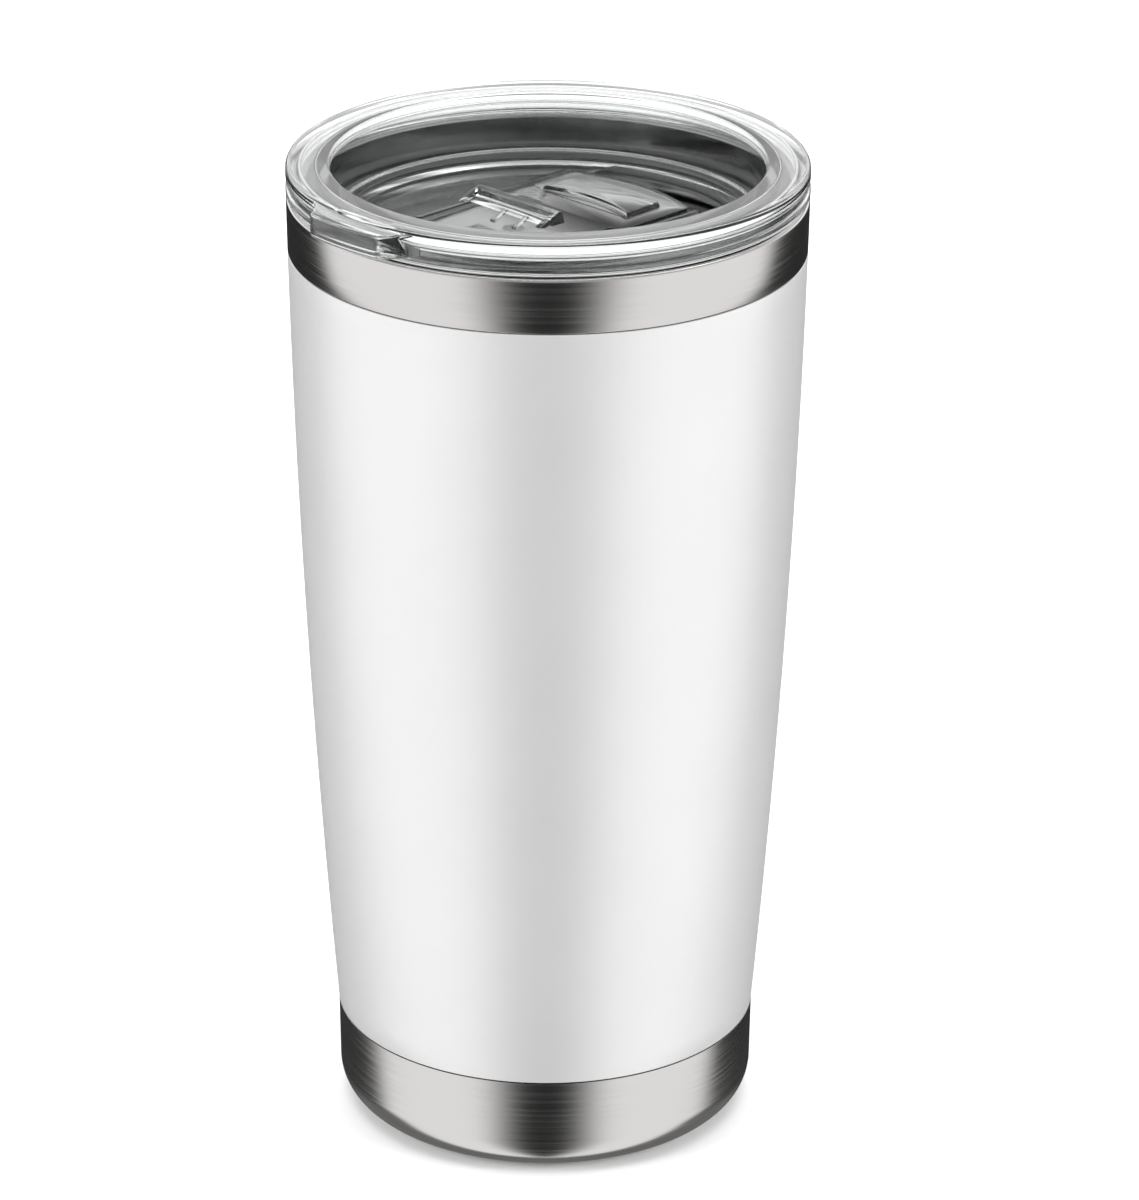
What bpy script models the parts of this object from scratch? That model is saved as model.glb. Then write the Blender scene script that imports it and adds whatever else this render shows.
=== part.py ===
"""Insulated tumbler with a clear slide lid.

A double-walled vacuum cup of stainless steel with a white coating, a push-in lid
moulded in clear plastic, and a slider that opens and closes the drink opening.
Metres, +Z up. The origin is the centre of the plane that the cup stands on.
"""

import math

import bmesh
import bpy

# Outside of the cup
RIM_Z = 0.1655            # top of the steel rim, which is the seat of the lid
COAT_TOP_Z = 0.1559
COAT_BOTTOM_Z = 0.0180
COAT_TOP_R = 0.0433
COAT_TAPER = 0.0028       # straight part of the taper over the coat's height
COAT_BOW = 0.0044         # part of the taper that grows with the square of the depth
BASE_R = 0.0359           # side of the base band just above its round corner
BASE_CORNER_R = 0.0065
FOOT_INNER_R = 0.0270     # inner edge of the flat ring that the cup stands on
FOOT_LIP_Z = 0.0036

# Wall thicknesses and the gap between neighbouring pieces
GAP = 0.0003
COAT_T = 0.0004
SHELL_T = 0.0006
LINER_T = 0.0005
WRAP_T = 0.0003
LINER_INSET = 0.0046      # from the outside of the coat to the wet side of the liner

# Inside of the cup
MOUTH_R = 0.0405
MOUTH_DEPTH_Z = 0.1520    # lower end of the straight mouth
SHOULDER_Z = 0.1440
LIP_R = 0.0423
LIP_ROUND = 0.0006
LINER_FLOOR_Z = 0.0102
LINER_CORNER_R = 0.0070
LINER_HOLE_R = 0.0243
VACUUM_BOTTOM_Z = 0.0040
VACUUM_BOTTOM_R = 0.0288
DIMPLE_R = 0.0070
DIMPLE_H = 0.0015
HOLE_R = 0.0013
BASE_CAP_Z = 0.0012
GETTER_X = 0.0170

# Lid, measured from its seat on the rim; its local +X points at the drink opening
LID_TURN = math.radians(45)
LID_R = 0.0435
LID_TOP = 0.0055
RING_INNER_R = 0.0363
WELL_R = 0.0350           # foot of the well's wall
FLOOR_TOP = -0.0059
FLOOR_T = 0.0018
PLUG_R = 0.0382
PLUG_BOTTOM = -0.0105
GROOVE_TOP = -0.0052
GROOVE_BOTTOM = -0.0086
GROOVE_R = 0.0366
# Flank of the pull tab: degrees from its middle, and how far it stands out from the ring
TAB_FLANK = ((18.0, -0.0012), (16.0, 0.0001), (13.0, 0.0007), (11.0, 0.0022), (9.8, 0.0031),
             (8.6, 0.0035))
OPENING_CHORD_X = 0.0220
OPENING_R = 0.0322
OPENING_HALF_Y = 0.0136
RAIL_INNER_Y = 0.0142
RAIL_W = 0.0015
RAIL_H = 0.0014
RAIL_X = (-0.0160, 0.0205)
VENT_X = -0.0230
VENT_R = 0.0010

# Slider, at its open end of travel
TRAVEL = 0.0115
PLATE_T = 0.0013
PLATE_HALF_Y = 0.0137
PLATE_REAR_X = -0.0172
PLATE_FRONT_R = 0.0339    # radius of the front edge about the lid's centre when shut
TAIL_HALF_Y = 0.0114
TAIL_X = (-0.0030, 0.0030)
SEAL_T = 0.0004
SEAL_MARGIN = 0.0008
GRIP_X = (-0.0168, -0.0059)
GRIP_Z = (-0.0036, 0.0005)
GRIP_HALF_Y = 0.0102
PAD_X = (0.0082, 0.0168)
PAD_TOP = -0.0035
PAD_HALF_Y = 0.0102
STEM_X = -0.0080
STEM_R = 0.0018
BARB_R = 0.0025
CLIP_R = 0.0042
CLIP_T = 0.0010

SEGMENTS = 40

FINISHES = {
    "steel": ((0.62, 0.61, 0.60), 0.28, 1.0),
    "coat": ((0.83, 0.83, 0.83), 0.55, 0.0),
    "copper": ((0.72, 0.38, 0.22), 0.35, 1.0),
    "getter": ((0.20, 0.19, 0.18), 0.75, 0.3),
    "bead": ((0.10, 0.14, 0.20), 0.15, 0.0),
    "clear": ((0.88, 0.90, 0.90), 0.08, 0.0),
    "silicone": ((0.80, 0.80, 0.78), 0.45, 0.0),
}


def clear_scene():
    for obj in list(bpy.data.objects):
        bpy.data.objects.remove(obj, do_unlink=True)


def new_collection(name):
    collection = bpy.data.collections.new(name)
    bpy.context.scene.collection.children.link(collection)
    return collection


def new_material(name):
    colour, roughness, metallic = FINISHES[name]
    material = bpy.data.materials.new(name)
    material.use_nodes = True
    shader = material.node_tree.nodes["Principled BSDF"]
    shader.inputs["Base Color"].default_value = (*colour, 1.0)
    shader.inputs["Roughness"].default_value = roughness
    shader.inputs["Metallic"].default_value = metallic
    return material


def add_object(name, mesh, finish=None, parent=None):
    """A part with a finish goes in the tumbler's collection, anything else with the cutters."""
    obj = bpy.data.objects.new(name, mesh)
    if finish:
        TUMBLER.objects.link(obj)
        mesh.materials.append(MATERIALS[finish])
    else:
        CUTTERS.objects.link(obj)
        obj.hide_render = True
        obj.display_type = "WIRE"
    obj.parent = parent
    return obj


def add_empty(name, parent=None):
    empty = bpy.data.objects.new(name, None)
    empty.empty_display_size = 0.02
    TUMBLER.objects.link(empty)
    empty.parent = parent
    return empty


def arc(centre_r, centre_z, radius, start, end, steps):
    """Points of a round corner, with its angles in degrees."""
    angles = [math.radians(start + (end - start) * i / steps) for i in range(steps + 1)]
    return [(centre_r + radius * math.cos(a), centre_z + radius * math.sin(a)) for a in angles]


def levels(top, bottom, count):
    return [top + (bottom - top) * i / count for i in range(count + 1)]


def wall_radius(z):
    """Outside of the coat, which bows gently outwards as it tapers to the base."""
    t = (COAT_TOP_Z - z) / (COAT_TOP_Z - COAT_BOTTOM_Z)
    return COAT_TOP_R - COAT_TAPER * t - COAT_BOW * t * t


def turned(name, profile, finish, wall=0.0, parent=None):
    """A turned piece: a closed section, or an open line that gets a wall behind it."""
    count = len(profile)
    open_line = wall or min(r for r, _ in profile) == 0.0
    edges = [(i, (i + 1) % count) for i in range(count - 1 if open_line else count)]
    mesh = bpy.data.meshes.new(name)
    mesh.from_pydata([(r, 0.0, z) for r, z in profile], edges, [])
    obj = add_object(name, mesh, finish, parent)
    screw = obj.modifiers.new("Turn", "SCREW")
    screw.steps = SEGMENTS
    screw.render_steps = SEGMENTS
    screw.use_merge_vertices = True
    screw.merge_threshold = 0.00001
    screw.use_smooth_shade = True
    if wall:
        solidify = obj.modifiers.new("Wall", "SOLIDIFY")
        solidify.thickness = wall
        solidify.offset = -1.0
        solidify.use_even_offset = True
    return obj


def extruded(name, outline, low, high, finish=None, parent=None):
    """A flat outline in XY, extruded from low to high, as a closed mesh."""
    curve = bpy.data.curves.new(name, "CURVE")
    curve.dimensions = "2D"
    curve.fill_mode = "BOTH"
    curve.extrude = (high - low) / 2
    spline = curve.splines.new("POLY")
    spline.points.add(len(outline) - 1)
    for point, (x, y) in zip(spline.points, outline):
        point.co = (x, y, 0.0, 1.0)
    spline.use_cyclic_u = True
    guide = bpy.data.objects.new(name + "_outline", curve)
    CUTTERS.objects.link(guide)
    bpy.context.view_layer.update()
    graph = bpy.context.evaluated_depsgraph_get()
    mesh = bpy.data.meshes.new_from_object(guide.evaluated_get(graph))
    bpy.data.objects.remove(guide, do_unlink=True)
    bm = bmesh.new()
    bm.from_mesh(mesh)
    bmesh.ops.remove_doubles(bm, verts=bm.verts, dist=0.000001)
    bmesh.ops.translate(bm, verts=bm.verts, vec=(0.0, 0.0, (low + high) / 2))
    bmesh.ops.recalc_face_normals(bm, faces=bm.faces)
    bm.to_mesh(mesh)
    bm.free()
    return add_object(name, mesh, finish, parent)


def cylinder(name, radius, low, high, x=0.0, finish=None, parent=None, sides=20):
    bm = bmesh.new()
    bmesh.ops.create_cone(
        bm, cap_ends=True, segments=sides, radius1=radius, radius2=radius, depth=high - low
    )
    mesh = bpy.data.meshes.new(name)
    bm.to_mesh(mesh)
    bm.free()
    obj = add_object(name, mesh, finish, parent)
    obj.location = (x, 0.0, (low + high) / 2)
    return obj


def block(name, x_range, half_y, z_range, rear_top=None, round_top=0.0, parent=None):
    """A block whose top can fall to rear_top at its low-X end, with rounded top edges."""
    bm = bmesh.new()
    bmesh.ops.create_cube(bm, size=1.0)
    for vert in bm.verts:
        rear = vert.co.x < 0
        top = vert.co.z > 0
        x = x_range[0] if rear else x_range[1]
        z = z_range[1] if top else z_range[0]
        if rear and top and rear_top is not None:
            z = rear_top
        vert.co = (x, math.copysign(half_y, vert.co.y), z)
    if round_top:
        edges = [e for e in bm.edges if all(v.co.z > z_range[0] for v in e.verts)]
        bmesh.ops.bevel(bm, geom=edges, offset=round_top, segments=2, profile=0.5, affect="EDGES")
    mesh = bpy.data.meshes.new(name)
    bm.to_mesh(mesh)
    bm.free()
    return add_object(name, mesh, None, parent)


def combine(obj, tool, operation):
    boolean = obj.modifiers.new(tool.name, "BOOLEAN")
    boolean.operation = operation
    boolean.object = tool
    boolean.solver = "EXACT"


def d_outline(chord_x, radius, half_y, shift=0.0, steps=8):
    """A D: a straight chord, two short sides and an arc about the lid's centre."""
    limit = math.asin(half_y / radius)
    angles = [limit * (2 * i / steps - 1) for i in range(steps + 1)]
    front = [(radius * math.cos(a) - shift, radius * math.sin(a)) for a in angles]
    return [(chord_x - shift, -half_y), *front, (chord_x - shift, half_y)]


def slot_outline(x_range, half_width, steps=6):
    low, high = x_range
    right = arc(high, 0.0, half_width, -90, 90, steps)
    left = arc(low, 0.0, half_width, 90, 270, steps)
    return right + left


def tab_outline(steps=6):
    """The pull tab from above: a wider arc that runs back into the ring at both ends."""
    flank = [(math.radians(degrees), LID_R + out) for degrees, out in TAB_FLANK]
    reach, edge_r = flank[-1]
    edge = [(reach - 2 * reach * i / steps, edge_r) for i in range(1, steps)]
    line = flank + edge + [(-angle, r) for angle, r in reversed(flank)]
    return [(-r * math.cos(angle), -r * math.sin(angle)) for angle, r in line]


def build_outer_shell():
    """Steel outer wall: two bare bands, with the wall set in behind the coat."""
    inset = COAT_T + GAP
    top = COAT_TOP_Z + GAP
    bottom = COAT_BOTTOM_Z - GAP
    behind = [(wall_radius(z) - inset, z) for z in levels(top, bottom, 5)]
    corner_r = BASE_R - BASE_CORNER_R
    profile = [
        (LIP_R + GAP + SHELL_T, RIM_Z - GAP),
        (wall_radius(RIM_Z) - GAP, RIM_Z - 2 * GAP),
        (wall_radius(top), top),
        *behind,
        (wall_radius(bottom), bottom),
        *arc(corner_r, BASE_CORNER_R, BASE_CORNER_R, 0, -90, 4),
        (FOOT_INNER_R + GAP, 0.0),
        (FOOT_INNER_R, GAP),
        (FOOT_INNER_R, FOOT_LIP_Z),
    ]
    turned("outer_shell", profile, "steel", SHELL_T)


def build_powder_coat():
    profile = [(wall_radius(z), z) for z in levels(COAT_TOP_Z, COAT_BOTTOM_Z, 5)]
    turned("powder_coat", profile, "coat", COAT_T)


def liner_wall():
    """Wet side of the liner's tapering wall, from the bottom up."""
    low = LINER_FLOOR_Z + LINER_CORNER_R
    return [(wall_radius(z) - LINER_INSET, z) for z in levels(low, SHOULDER_Z, 4)]


def build_inner_liner():
    wall = liner_wall()
    corner_r = wall[0][0] - LINER_CORNER_R
    corner = arc(corner_r, LINER_FLOOR_Z + LINER_CORNER_R, LINER_CORNER_R, -90, 0, 3)
    profile = [
        (LINER_HOLE_R, LINER_FLOOR_Z),
        *corner[:-1],
        *wall,
        (MOUTH_R, MOUTH_DEPTH_Z),
        (MOUTH_R, RIM_Z - LIP_ROUND),
        (MOUTH_R + LIP_ROUND, RIM_Z),
        (LIP_R, RIM_Z),
    ]
    turned("inner_liner", profile, "steel", LINER_T)


def build_liner_bottom():
    edge = LINER_HOLE_R - GAP
    dome = 0.0010
    profile = [
        (0.0, LINER_FLOOR_Z + dome),
        (edge * 0.6, LINER_FLOOR_Z + dome * 0.7),
        (edge, LINER_FLOOR_Z),
        (edge, LINER_FLOOR_Z - LINER_T),
        (edge * 0.6, LINER_FLOOR_Z + dome * 0.7 - LINER_T),
        (0.0, LINER_FLOOR_Z + dome - LINER_T),
    ]
    turned("liner_bottom", profile, "steel")


def build_copper_wrap():
    """Thin foil round the vacuum side of the liner."""
    offset = LINER_T + GAP + WRAP_T
    profile = [(r + offset, z) for r, z in reversed(liner_wall())]
    turned("copper_wrap", profile, "copper", WRAP_T)


def build_vacuum_bottom():
    """Stamped disc on the foot's lip, with a dimple pressed up round its small hole."""
    low = VACUUM_BOTTOM_Z
    profile = [
        (VACUUM_BOTTOM_R, low),
        (DIMPLE_R, low),
        (DIMPLE_R - DIMPLE_H, low + DIMPLE_H),
        (HOLE_R, low + DIMPLE_H),
    ]
    turned("vacuum_bottom", profile, "steel", SHELL_T)


def build_seal_bead():
    low = VACUUM_BOTTOM_Z + 0.0001
    high = VACUUM_BOTTOM_Z + DIMPLE_H - GAP
    profile = [(0.0, high), (0.0036, high), (0.0034, high - 0.0005), (0.0020, low), (0.0, low)]
    turned("seal_bead", profile, "bead")


def build_base_cap():
    """Stamped cover inside the foot ring, clear of the surface that the cup stands on."""
    edge = FOOT_INNER_R - GAP
    step = 0.0005
    profile = [
        (edge, BASE_CAP_Z),
        (edge - 0.0070, BASE_CAP_Z),
        (edge - 0.0080, BASE_CAP_Z + step),
        (0.0, BASE_CAP_Z + step),
    ]
    turned("base_cap", profile, "steel", SHELL_T)


def build_getter():
    """A pill of gas getter under a small clip on the vacuum bottom."""
    foot = VACUUM_BOTTOM_Z + SHELL_T + GAP
    pill_r = 0.0033
    pill_top = foot + 0.0018
    strip = 0.0004
    cylinder("getter_pill", pill_r, foot, pill_top, x=GETTER_X, finish="getter")
    inner = pill_r + GAP
    bridge = pill_top + GAP
    outline = [
        (-inner - 0.0020, foot),
        (-inner, foot),
        (-inner, bridge),
        (inner, bridge),
        (inner, foot),
        (inner + 0.0020, foot),
        (inner + 0.0020, foot + strip),
        (inner + strip, foot + strip),
        (inner + strip, bridge + strip),
        (-inner - strip, bridge + strip),
        (-inner - strip, foot + strip),
        (-inner - 0.0020, foot + strip),
    ]
    clip = extruded("getter_clip", outline, -0.0015, 0.0015, "steel")
    clip.location = (GETTER_X, 0.0, 0.0)
    clip.rotation_euler = (math.radians(90), 0.0, 0.0)


def lid_section():
    """Half section of the clear lid, from the axis over the well, ring and plug and back."""
    floor_low = FLOOR_TOP - FLOOR_T
    channel_top = 0.0034
    skirt_low = GAP
    return [
        (0.0, FLOOR_TOP),
        (WELL_R - 0.0009, FLOOR_TOP),
        (WELL_R - 0.0002, FLOOR_TOP + 0.0003),
        (WELL_R, FLOOR_TOP + 0.0009),
        (RING_INNER_R - 0.0003, LID_TOP - 0.0008),
        (RING_INNER_R, LID_TOP - 0.0002),
        (RING_INNER_R + 0.0006, LID_TOP),
        (LID_R - 0.0010, LID_TOP),
        (LID_R - 0.0003, LID_TOP - 0.0003),
        (LID_R, LID_TOP - 0.0010),
        (LID_R, LID_TOP - 0.0018),
        (LID_R - 0.0004, LID_TOP - 0.0024),
        (LID_R - 0.0004, skirt_low + 0.0016),
        (LID_R - 0.0001, skirt_low + 0.0011),
        (LID_R - 0.0001, skirt_low + 0.0005),
        (LID_R - 0.0005, skirt_low),
        (LID_R - 0.0020, skirt_low),
        (LID_R - 0.0022, channel_top),
        (PLUG_R, channel_top),
        (PLUG_R, GROOVE_TOP),
        (GROOVE_R, GROOVE_TOP),
        (GROOVE_R, GROOVE_BOTTOM),
        (PLUG_R - 0.0002, GROOVE_BOTTOM),
        (PLUG_R - 0.0006, PLUG_BOTTOM),
        (PLUG_R - 0.0024, PLUG_BOTTOM),
        (WELL_R + 0.0003, floor_low),
        (0.0, floor_low),
    ]


def build_lid_body(parent):
    lid = turned("lid_body", lid_section(), "clear", parent=parent)
    floor_low = FLOOR_TOP - FLOOR_T
    tab = extruded("tab", tab_outline(), LID_TOP - 0.0044, LID_TOP - 0.0004, parent=parent)
    combine(lid, tab, "UNION")
    for side in (-1, 1):
        near, far = side * RAIL_INNER_Y, side * (RAIL_INNER_Y + RAIL_W)
        outline = [(RAIL_X[0], near), (RAIL_X[1], near), (RAIL_X[1], far), (RAIL_X[0], far)]
        low, high = FLOOR_TOP - 0.0008, FLOOR_TOP + RAIL_H
        rail = extruded("rail_right" if side < 0 else "rail_left", outline, low, high, parent=parent)
        combine(lid, rail, "UNION")
    low, high = floor_low - 0.001, FLOOR_TOP + 0.001
    opening_outline = d_outline(OPENING_CHORD_X, OPENING_R, OPENING_HALF_Y)
    opening = extruded("drink_opening", opening_outline, low, high, parent=parent)
    stem_path = (STEM_X, STEM_X + TRAVEL)
    slot = extruded("stem_slot", slot_outline(stem_path, STEM_R + 0.0004), low, high, parent=parent)
    vent = cylinder("vent_hole", VENT_R, low, high, x=VENT_X, parent=parent, sides=12)
    for cutter in (opening, slot, vent):
        combine(lid, cutter, "DIFFERENCE")


def build_lid_gasket(parent):
    """Two soft lips that stand out from the plug's groove towards the steel mouth."""
    lip_r = MOUTH_R - GAP
    root_r = PLUG_R + 0.0004
    high = GROOVE_TOP - GAP
    low = GROOVE_BOTTOM + GAP
    middle = (high + low) / 2
    profile = [
        (GROOVE_R + GAP, high),
        (root_r, high),
        (lip_r, high - 0.0004),
        (root_r + 0.0002, middle),
        (lip_r, middle - 0.0008),
        (root_r, low),
        (GROOVE_R + GAP, low),
    ]
    turned("lid_gasket", profile, "silicone", parent=parent)


def plate_outline():
    """The slider's plate: a narrow tail, and a wide front whose edge is an arc."""
    front = d_outline(TAIL_X[1] + TRAVEL, PLATE_FRONT_R, PLATE_HALF_Y, shift=TRAVEL)
    tail_right = [(PLATE_REAR_X, -TAIL_HALF_Y), (TAIL_X[0], -TAIL_HALF_Y)]
    tail_left = [(TAIL_X[0], TAIL_HALF_Y), (PLATE_REAR_X, TAIL_HALF_Y)]
    return tail_right + front + tail_left


def build_slider(parent):
    low = FLOOR_TOP + GAP
    high = low + PLATE_T
    sunk = high - 0.0006
    slider = extruded("slider", plate_outline(), low, high, "clear", parent)
    grip = block("thumb_grip", GRIP_X, GRIP_HALF_Y, (sunk, GRIP_Z[1]), GRIP_Z[0], parent=parent)
    pad = block("front_pad", PAD_X, PAD_HALF_Y, (sunk, PAD_TOP), round_top=0.0004, parent=parent)
    barb_top = FLOOR_TOP - FLOOR_T - 2 * GAP - CLIP_T - GAP
    stem = cylinder("stem", STEM_R, barb_top - 0.0006, sunk, x=STEM_X, parent=parent)
    barb = cylinder("barb", BARB_R, barb_top - 0.0010, barb_top, x=STEM_X, parent=parent)
    for piece in (grip, pad, stem, barb):
        combine(slider, piece, "UNION")
    grow = SEAL_MARGIN + GAP
    pocket_outline = d_outline(
        OPENING_CHORD_X - grow, OPENING_R + grow, OPENING_HALF_Y - SEAL_MARGIN + grow - GAP, TRAVEL
    )
    pocket = extruded("seal_pocket", pocket_outline, low - 0.001, low + SEAL_T + GAP, parent=parent)
    combine(slider, pocket, "DIFFERENCE")


def build_slider_seal(parent):
    """Silicone pad in the plate's pocket, a little larger than the drink opening."""
    low = FLOOR_TOP + GAP
    outline = d_outline(
        OPENING_CHORD_X - SEAL_MARGIN,
        OPENING_R + SEAL_MARGIN,
        OPENING_HALF_Y - GAP,
        TRAVEL,
    )
    extruded("slider_seal", outline, low, low + SEAL_T, "silicone", parent)


def build_slider_clip(parent):
    """Snap washer on the stem, just under the lid's floor."""
    high = FLOOR_TOP - FLOOR_T - 2 * GAP
    profile = [
        (CLIP_R, high),
        (CLIP_R, high - CLIP_T),
        (STEM_R + GAP, high - CLIP_T),
        (STEM_R + GAP, high),
    ]
    clip = turned("slider_clip", profile, "clear", parent=parent)
    clip.location = (STEM_X, 0.0, 0.0)


clear_scene()
TUMBLER = new_collection("insulated_tumbler")
CUTTERS = new_collection("cutters")
MATERIALS = {name: new_material(name) for name in FINISHES}

build_outer_shell()
build_powder_coat()
build_inner_liner()
build_liner_bottom()
build_copper_wrap()
build_vacuum_bottom()
build_seal_bead()
build_base_cap()
build_getter()

lid_axis = add_empty("lid_axis")
lid_axis.location = (0.0, 0.0, RIM_Z)
lid_axis.rotation_euler = (0.0, 0.0, LID_TURN)
build_lid_body(lid_axis)
build_lid_gasket(lid_axis)

slider_axis = add_empty("slider_axis", lid_axis)
build_slider(slider_axis)
build_slider_seal(slider_axis)
build_slider_clip(slider_axis)
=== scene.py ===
"""Looks of an insulated steel tumbler with a white coat, a clear lid and its slider."""

import math

import bmesh
import bpy
from mathutils import Matrix, Vector


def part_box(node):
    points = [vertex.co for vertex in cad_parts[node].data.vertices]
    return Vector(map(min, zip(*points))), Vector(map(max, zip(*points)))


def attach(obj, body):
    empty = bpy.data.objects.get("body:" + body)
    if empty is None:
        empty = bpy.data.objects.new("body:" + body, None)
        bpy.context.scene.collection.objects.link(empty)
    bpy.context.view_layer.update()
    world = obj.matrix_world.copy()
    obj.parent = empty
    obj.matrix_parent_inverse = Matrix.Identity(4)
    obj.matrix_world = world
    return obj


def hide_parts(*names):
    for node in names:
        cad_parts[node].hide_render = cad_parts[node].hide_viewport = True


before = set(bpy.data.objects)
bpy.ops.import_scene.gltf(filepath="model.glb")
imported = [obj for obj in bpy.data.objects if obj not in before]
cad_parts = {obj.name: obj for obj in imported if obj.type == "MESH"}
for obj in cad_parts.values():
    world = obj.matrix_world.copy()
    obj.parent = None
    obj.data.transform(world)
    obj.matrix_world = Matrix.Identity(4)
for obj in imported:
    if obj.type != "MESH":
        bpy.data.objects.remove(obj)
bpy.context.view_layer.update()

SPIN_STEPS = 192
FULL_TURN = 2 * math.pi
SMOOTH_ANGLE = math.radians(35)
TOUCH = 1e-6      # metres within which two places count as the same

# Places taken from the frame
RIM_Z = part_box("inner_liner")[1].z
COAT_BOTTOM_Z, COAT_TOP_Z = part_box("powder_coat")[0].z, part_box("powder_coat")[1].z
COAT_TOP_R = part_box("powder_coat")[1].x
LID_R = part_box("lid_body")[1].x
LID_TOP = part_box("lid_body")[1].z - RIM_Z
PLUG_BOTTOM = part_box("lid_body")[0].z - RIM_Z
LINER_LIP_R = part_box("inner_liner")[1].x
CAP_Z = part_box("base_cap")[0].z

# The outer wall: a taper with a gentle bow, and a base band with a round corner
COAT_TAPER = 0.0028
COAT_BOW = 0.0044
BASE_R = 0.0359
BASE_CORNER_R = 0.0065
FOOT_INNER_R = 0.0270
FOOT_LIP_Z = 0.0036
SHELL_T = 0.0006
LINER_T = 0.0005
GAP = 0.0003
COAT_T = 0.0004
LINER_INSET = 0.0046
MOUTH_R = 0.0405
MOUTH_DEPTH_Z = 0.1520
SHOULDER_Z = 0.1440
LINER_FLOOR_Z = 0.0102
LINER_CORNER_R = 0.0070
LINER_HOLE_R = 0.0243

# The lid, measured from its seat, with +X towards the drink opening
LID_PLACE = Matrix.Translation((0, 0, RIM_Z)) @ Matrix.Rotation(math.radians(45), 4, "Z")
RING_INNER_R = 0.0363
WELL_R = 0.0350
FLOOR_TOP = -0.0059
FLOOR_T = 0.0018
PLUG_R = 0.0382
GROOVE_TOP = -0.0052
GROOVE_BOTTOM = -0.0086
GROOVE_R = 0.0366
TAB_R = 0.0470
TAB_REACH = math.radians(9.0)      # from the tab's middle to the end of its outer edge
TAB_FOOT = math.radians(17.0)      # to where its hollow flank has run into the ring
TAB_FLANK_CURVE = 0.7
TAB_Z = (LID_TOP - 0.0044, LID_TOP - 0.0003)
OPENING_CHORD_X = 0.0220
OPENING_R = 0.0322
OPENING_HALF_Y = 0.0136
RAIL_INNER_Y = 0.0142
RAIL_W = 0.0015
RAIL_H = 0.0014
RAIL_X = (-0.0160, 0.0205)
VENT_X = -0.0230
VENT_R = 0.0010

# The slider at its open end
TRAVEL = 0.0115
PLATE_T = 0.0013
PLATE_Z = (FLOOR_TOP + GAP, FLOOR_TOP + GAP + PLATE_T)
PLATE_HALF_Y = 0.0137
PLATE_REAR_X = -0.0172
PLATE_FRONT_R = 0.0339
TAIL_HALF_Y = 0.0114
SHOULDER_X = 0.0030
SEAL_T = 0.0004
SEAL_MARGIN = 0.0008
GRIP_X = (-0.0168, -0.0059)
GRIP_Z = (-0.0036, 0.0005)
GRIP_HALF_Y = 0.0099
GRIP_FOOT_HALF_Y = 0.0112
GRIP_RIM = 0.0014
GRIP_HOLLOW = 0.0004
GRIP_HOLLOW_REAR_X = -0.0136
GRIP_LEAN = 0.0004         # how far the grip's front leans back
RIB_Y = (-0.0045, 0.0005)
RIB_HALF_W = 0.0005
SCOOP_R = 0.026
SCOOP_DEPTH = 0.0024
PAD_X = (0.0082, 0.0168)
PAD_TOP = -0.0035
PAD_HALF_Y = 0.0100
PAD_FOOT_HALF_Y = 0.0106
STEM_X = -0.0080
STEM_R = 0.0018
BARB_R = 0.0025
CLIP_R = 0.0042
CLIP_T = 0.0010
CLIP_TOP = FLOOR_TOP - FLOOR_T - 2 * GAP

# The camera
CAMERA_PLACE = (0.0039, -0.931, 0.484)
CAMERA_TILT = math.radians(67.16)
CAMERA_ROLL = math.radians(0.3)
CAMERA_LENS = 177.7

# The room: angles from the front round to each side, and heights as the sine of the elevation
PANEL_START = (math.radians(2), math.radians(50))
PANEL_END = (math.radians(100), math.radians(126))
BACK_PANEL_START = (math.radians(120), math.radians(150))
BACK_PANEL_TOP = (0.45, 0.65)
WALL_TOP = (0.35, 0.80)
HORIZON = (-0.02, 0.10)
LOW_START = 0.42     # below this the panels lean back and fill the ground behind
LOW_LEAN = 0.36
LOW_FILL = 0.65
PANEL_DARK = 0.03
PANEL_BRIGHT = 1.15
WALL_DARK = 0.35
WALL_BRIGHT = 0.90
CEILING_BRIGHT = 0.50
BACK_PANEL_BRIGHT = 0.5
BACKDROP_BRIGHT = 1.05

# Lamps: place, point aimed at, width and height in metres, watts, seen in mirrors and through glass
SOFTBOXES = {
    "left_softbox": ((-2.0, -0.9, 1.2), (0, 0, 0.1), (0.9, 1.4), 26.0, False),
    "right_softbox": ((2.0, -0.9, 1.2), (0, 0, 0.1), (0.9, 1.4), 26.0, False),
    "back_softbox": ((0.2, 1.6, 2.2), (0, 0, 0.17), (1.6, 0.6), 9.0, True),
    "top_softbox": ((0.0, 0.3, 2.4), (0, 0, 0), (2.6, 2.6), 60.0, False),
}
FLOOR_SIZE = 30.0


# ---------------------------------------------------------------- shader nodes

class NodeTree:
    """Short ways to add nodes to a node tree."""

    def __init__(self, tree):
        self.nodes, self.links = tree.nodes, tree.links

    def feed(self, node, inputs):
        """Links the inputs that are given as sockets, and sets the others."""
        for name, value in inputs.items():
            if isinstance(value, bpy.types.NodeSocket):
                self.links.new(value, node.inputs[name])
            else:
                node.inputs[name].default_value = value

    def math(self, operation, *values):
        node = self.nodes.new("ShaderNodeMath")
        node.operation = operation
        self.feed(node, dict(enumerate(values)))
        return node.outputs["Value"]

    def spread(self, source, low, high, start=0.3, end=0.7, curve="LINEAR"):
        """Maps a range of a pattern or a direction to a range of values."""
        node = self.nodes.new("ShaderNodeMapRange")
        node.interpolation_type = curve
        self.feed(node, {"Value": source, "From Min": start, "From Max": end,
                         "To Min": low, "To Max": high})
        return node.outputs["Result"]

    def mix(self, kind, share, first, second):
        node = self.nodes.new("ShaderNodeMix")
        node.data_type = kind
        self.feed(node, {"Factor": share, "A": first, "B": second})
        return node.outputs["Result"]


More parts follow.
